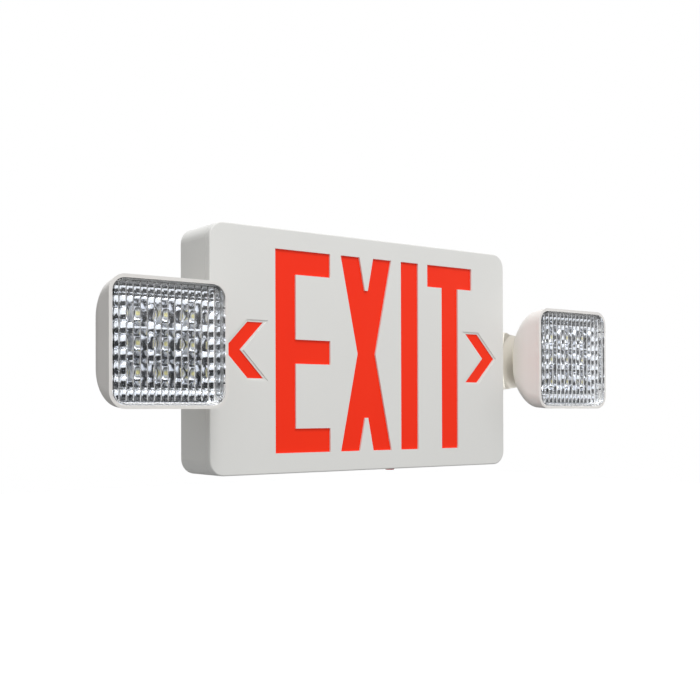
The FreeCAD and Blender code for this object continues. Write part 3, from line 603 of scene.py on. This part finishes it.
# Name, place, target, width in metres, watts, CAD nodes that it lights (none named: all)
LAMPS = (
    ("key", (-0.3, -1.3, 1.6), (0, 0, 0), 0.7, 20.0, ()),
    ("side_fill", (-0.6, -0.35, 0.2), (0.2, -0.05, 0), 0.4, 1.5,
     ("right_head_shell", "right_swivel_cup")),
    ("arm_fill", (0.1, -0.6, -0.35), (0.18, -0.03, 0), 0.4, 8.0,
     ("left_arm", "right_arm", "left_swivel_cup", "right_swivel_cup")),
)

CAMERA_PLACE = (-0.5313, -0.7267, -0.0469)
CAMERA_YAW = 36.73
CAMERA_PITCH = 0.37
CAMERA_ROLL = -0.17
FOCAL_LENGTH = 53.7
FILM_WIDTH = 36.0
FILM_RISE = 0.0779


def floor_plane():
    """Pale floor that the camera sees as white, with the object's shadow on it."""
    mesh = bpy.data.meshes.new("floor")
    half = FLOOR_SIZE / 2
    corners = [(-half, -half, 0), (half, -half, 0), (half, half, 0), (-half, half, 0)]
    mesh.from_pydata(corners, [], [(0, 1, 2, 3)])
    plane = bpy.data.objects.new("floor", mesh)
    bpy.context.scene.collection.objects.link(plane)
    plane.location = (0, 0, FLOOR_HEIGHT)
    material, bsdf = shader("floor_paint", srgb(250, 250, 250), 0.9)
    mottle(material, bsdf, srgb(250, 250, 250), srgb(252, 252, 252), 3.0)
    tree = material.node_tree
    path = tree.nodes.new("ShaderNodeLightPath")
    lift = math_node(tree, "MULTIPLY", path.outputs["Is Camera Ray"], FLOOR_LIFT)
    tree.links.new(lift, bsdf.inputs["Emission Strength"])
    bsdf.inputs["Emission Color"].default_value = (1, 1, 1, 1)
    plane.data.materials.append(material)
    plane.visible_glossy = False
    plane.visible_transmission = False
    plane.visible_diffuse = False
    plane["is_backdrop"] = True


def area_light(name, place, target, size, watts):
    """Square lamp that looks from its place at a target."""
    data = bpy.data.lights.new(name, "AREA")
    data.shape = "SQUARE"
    data.size = size
    data.energy = watts
    light = bpy.data.objects.new(name, data)
    bpy.context.scene.collection.objects.link(light)
    light.location = place
    direction = Vector(target) - Vector(place)
    light.rotation_euler = direction.to_track_quat("-Z", "Y").to_euler()
    return light


def keep_light_to(light, names):
    """Keeps a light to a few CAD nodes."""
    lit = bpy.data.collections.new(light.name + "_lit")
    for name in names:
        lit.objects.link(nodes[name])
    light.light_linking.receiver_collection = lit


def math_node(tree, operation, first, second):
    """One step of arithmetic on sockets or numbers."""
    node = tree.nodes.new("ShaderNodeMath")
    node.operation = operation
    for place, value in enumerate((first, second)):
        if isinstance(value, (int, float)):
            node.inputs[place].default_value = value
        else:
            tree.links.new(value, node.inputs[place])
    return node.outputs["Value"]


def level_ramp(tree, value, stops):
    """Grey level that follows a value from -1 to 1 through the given stops."""
    remap = tree.nodes.new("ShaderNodeMapRange")
    remap.inputs["From Min"].default_value = -1.0
    tree.links.new(value, remap.inputs["Value"])
    ramp = tree.nodes.new("ShaderNodeValToRGB")
    elements = ramp.color_ramp.elements
    while len(elements) < len(stops):
        elements.new(0.5)
    for element, (place, level) in zip(elements, stops):
        element.position = (place + 1) / 2
        element.color = (level, level, level, 1)
    tree.links.new(remap.outputs["Result"], ramp.inputs["Fac"])
    return ramp.outputs["Color"]


def make_world():
    """White to the camera; to the object a soft studio, with a dark card in sharp reflections."""
    world = bpy.data.worlds.new("studio")
    bpy.context.scene.world = world
    world.use_nodes = True
    tree = world.node_tree
    tree.nodes.clear()
    place = tree.nodes.new("ShaderNodeTexCoord")
    split = tree.nodes.new("ShaderNodeSeparateXYZ")
    tree.links.new(place.outputs["Generated"], split.inputs["Vector"])
    height = level_ramp(tree, split.outputs["Z"], SOFT_HEIGHT)
    depth = level_ramp(tree, split.outputs["Y"], SOFT_DEPTH)
    soft = math_node(tree, "MULTIPLY", height, depth)
    slant = math_node(tree, "MULTIPLY", split.outputs["X"], MIRRORED_SLANT)
    slanted_height = math_node(tree, "ADD", split.outputs["Z"], slant)
    mirrored = level_ramp(tree, slanted_height, MIRRORED_HEIGHT)
    path = tree.nodes.new("ShaderNodeLightPath")
    sharp = math_node(tree, "MAXIMUM", path.outputs["Is Glossy Ray"],
                      path.outputs["Is Transmission Ray"])
    level = tree.nodes.new("ShaderNodeMix")
    tree.links.new(sharp, level.inputs["Factor"])
    tree.links.new(soft, level.inputs["A"])
    tree.links.new(mirrored, level.inputs["B"])
    strength = math_node(tree, "MAXIMUM", level.outputs["Result"], path.outputs["Is Camera Ray"])
    background = tree.nodes.new("ShaderNodeBackground")
    background.inputs["Color"].default_value = (1, 1, 1, 1)
    tree.links.new(strength, background.inputs["Strength"])
    out = tree.nodes.new("ShaderNodeOutputWorld")
    tree.links.new(background.outputs["Background"], out.inputs["Surface"])


def make_camera():
    """Nearly level view from the left of the sign, a little below its middle."""
    yaw = math.radians(CAMERA_YAW)
    pitch = math.radians(CAMERA_PITCH)
    roll = math.radians(CAMERA_ROLL)
    level = Vector((math.sin(yaw), math.cos(yaw), 0))
    ahead = level * math.cos(pitch) + Vector((0, 0, math.sin(pitch)))
    right = Vector((math.cos(yaw), -math.sin(yaw), 0))
    up = right.cross(ahead)
    turned_right = right * math.cos(roll) + up * math.sin(roll)
    turned_up = turned_right.cross(ahead)
    data = bpy.data.cameras.new("camera")
    data.sensor_width = FILM_WIDTH
    data.lens = FOCAL_LENGTH
    data.shift_y = FILM_RISE
    data.clip_start = 0.01
    camera = bpy.data.objects.new("camera", data)
    bpy.context.scene.collection.objects.link(camera)
    basis = Matrix((turned_right, turned_up, -ahead)).transposed().to_4x4()
    camera.matrix_world = Matrix.Translation(CAMERA_PLACE) @ basis
    bpy.context.scene.camera = camera


make_world()
floor_plane()
for name, place, target, size, watts, lit_nodes in LAMPS:
    lamp = area_light(name, place, target, size, watts)
    if lit_nodes:
        keep_light_to(lamp, lit_nodes)
make_camera()
bpy.context.scene.view_settings.view_transform = "Standard"

size = {"cad": [list(corner) for corner in cad_bounds], "visual": [list(corner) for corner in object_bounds()]}
